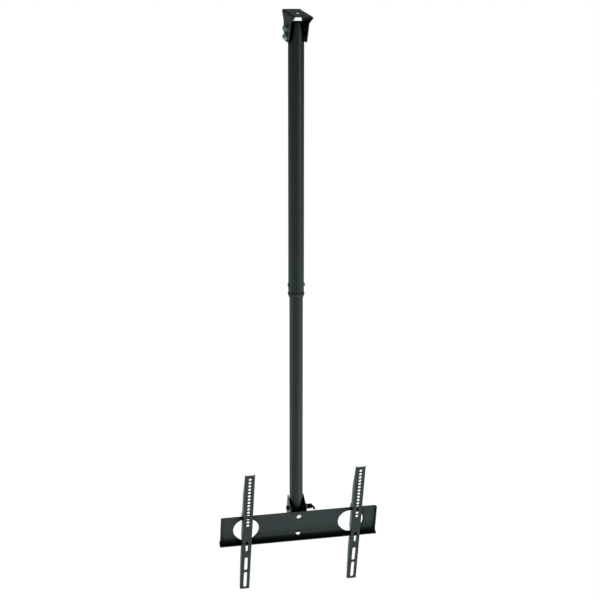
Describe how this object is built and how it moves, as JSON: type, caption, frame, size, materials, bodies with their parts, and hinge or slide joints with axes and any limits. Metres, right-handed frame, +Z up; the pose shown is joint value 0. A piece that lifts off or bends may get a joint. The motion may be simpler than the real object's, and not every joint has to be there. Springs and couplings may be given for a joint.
{
  "type": "tv ceiling mount",
  "caption": "Telescopic ceiling mount with a sloping-ceiling bracket, a sliding and turning mast, a tilting rail and hook-on arms for a flat screen.",
  "frame": {"origin": "centre of the ceiling plate's top face, midway between its two ceiling screw holes", "axes": "+Z up, X along the rail, -Y the side that the screen faces; the mast hangs along -Z and the plate slopes down towards -Y"},
  "size_m": [0.533, 0.1692, 1.8893],
  "materials": {
    "black_coat": "satin black powder coat",
    "zinc": "bright zinc plate",
    "black_plastic": "moulded, fine matt",
    "black_screw": "black oxide"
  },
  "bodies": {
    "ceiling": {"ceiling_bracket": "black_coat"},
    "mast": {"pivot_bolt": "zinc", "pivot_nut": "zinc", "pivot_washers": "zinc", "pivot_spacers": "black_plastic", "lock_bolt": "zinc", "lock_nut": "zinc", "lock_washers": "zinc", "lock_spacers": "black_plastic", "outer_tube": "black_coat", "tube_collar": "black_plastic", "clamp_screw_left": "black_screw", "clamp_screw_right": "black_screw"},
    "bush": {"guide_bush": "black_plastic"},
    "inner_mast": {"inner_tube": "black_coat", "saddle_washers": "black_plastic"},
    "head": {"tilt_bracket": "black_coat", "tilt_bolt": "black_screw", "tilt_spacer": "zinc", "rail": "black_coat"},
    "lever": {"tilt_lever": "black_plastic"},
    "left_arm_body": {"left_arm": "black_coat", "left_arm_screw": "zinc"},
    "right_arm_body": {"right_arm": "black_coat", "right_arm_screw": "zinc"}
  },
  "joints": [
    {"name": "ceiling_pivot", "type": "hinge", "parent": "ceiling", "child": "mast", "pos_m": [0, 0.01876, -0.04775], "axis": [1, 0, 0], "range_deg": [-21.5, 38.5]},
    {"name": "height_slide", "type": "slide", "parent": "mast", "child": "bush", "axis": [0, 0, 1], "range_m": [-0.14, 0.55]},
    {"name": "mast_swivel", "type": "hinge", "parent": "bush", "child": "inner_mast", "pos_m": [0, 0.01876, -0.64775], "axis": [0, 0, 1], "continuous": true},
    {"name": "screen_tilt", "type": "hinge", "parent": "inner_mast", "child": "head", "pos_m": [0, 0.01876, -1.61275], "axis": [1, 0, 0], "range_deg": [-18.4, 6.6]},
    {"name": "lever_turn", "type": "hinge", "parent": "head", "child": "lever", "pos_m": [0.045, 0.01876, -1.61275], "axis": [1, 0, 0], "continuous": true},
    {"name": "left_arm_slide", "type": "slide", "parent": "head", "child": "left_arm_body", "axis": [1, 0, 0], "range_m": [-0.06, 0.128]},
    {"name": "right_arm_slide", "type": "slide", "parent": "head", "child": "right_arm_body", "axis": [1, 0, 0], "range_m": [-0.142, 0.046]}
  ]
}
